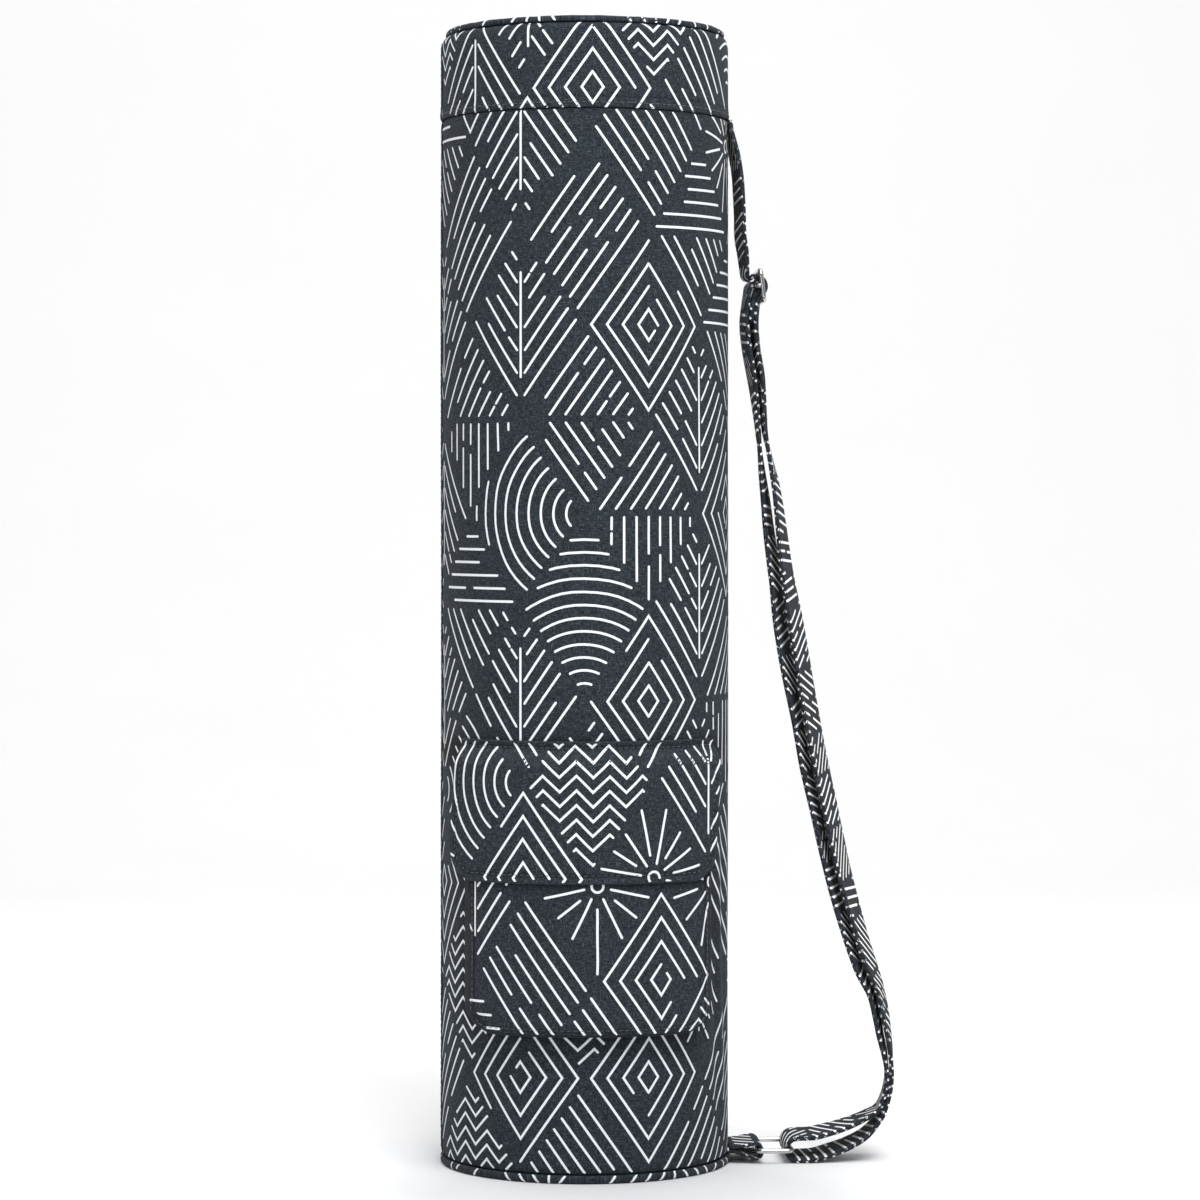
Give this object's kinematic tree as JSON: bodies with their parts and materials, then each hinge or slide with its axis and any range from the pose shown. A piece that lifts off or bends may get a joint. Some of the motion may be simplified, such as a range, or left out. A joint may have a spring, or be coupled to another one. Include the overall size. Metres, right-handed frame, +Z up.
{
  "type": "yoga mat bag",
  "caption": "Upright zipped canvas tube for a rolled mat, with a flapped front pocket and an adjustable shoulder strap hanging at its side and lying on the floor.",
  "frame": {"origin": "centre of the underside of the base, where the bag stands", "axes": "+Z up along the bag, -Y towards the front pocket, +X towards the shoulder strap"},
  "size_m": [0.2722, 0.1862, 0.67],
  "materials": {
    "canvas": "plain woven, printed with pale lines",
    "strap_canvas": "plain woven, printed with pale lines",
    "zip_tape": "woven tape with nylon coil",
    "nickel": "polished nickel plate"
  },
  "bodies": {
    "root": {"bag_body": "canvas", "base_panel": "canvas", "lid_band": "canvas", "top_panel": "canvas", "side_zip": "zip_tape", "pouch_panel": "canvas", "pouch_gusset": "canvas", "pocket_flap": "canvas", "shoulder_strap": "strap_canvas", "strap_slider": "nickel", "lower_ring": "nickel", "ring_tab": "strap_canvas"}
  },
  "joints": []
}
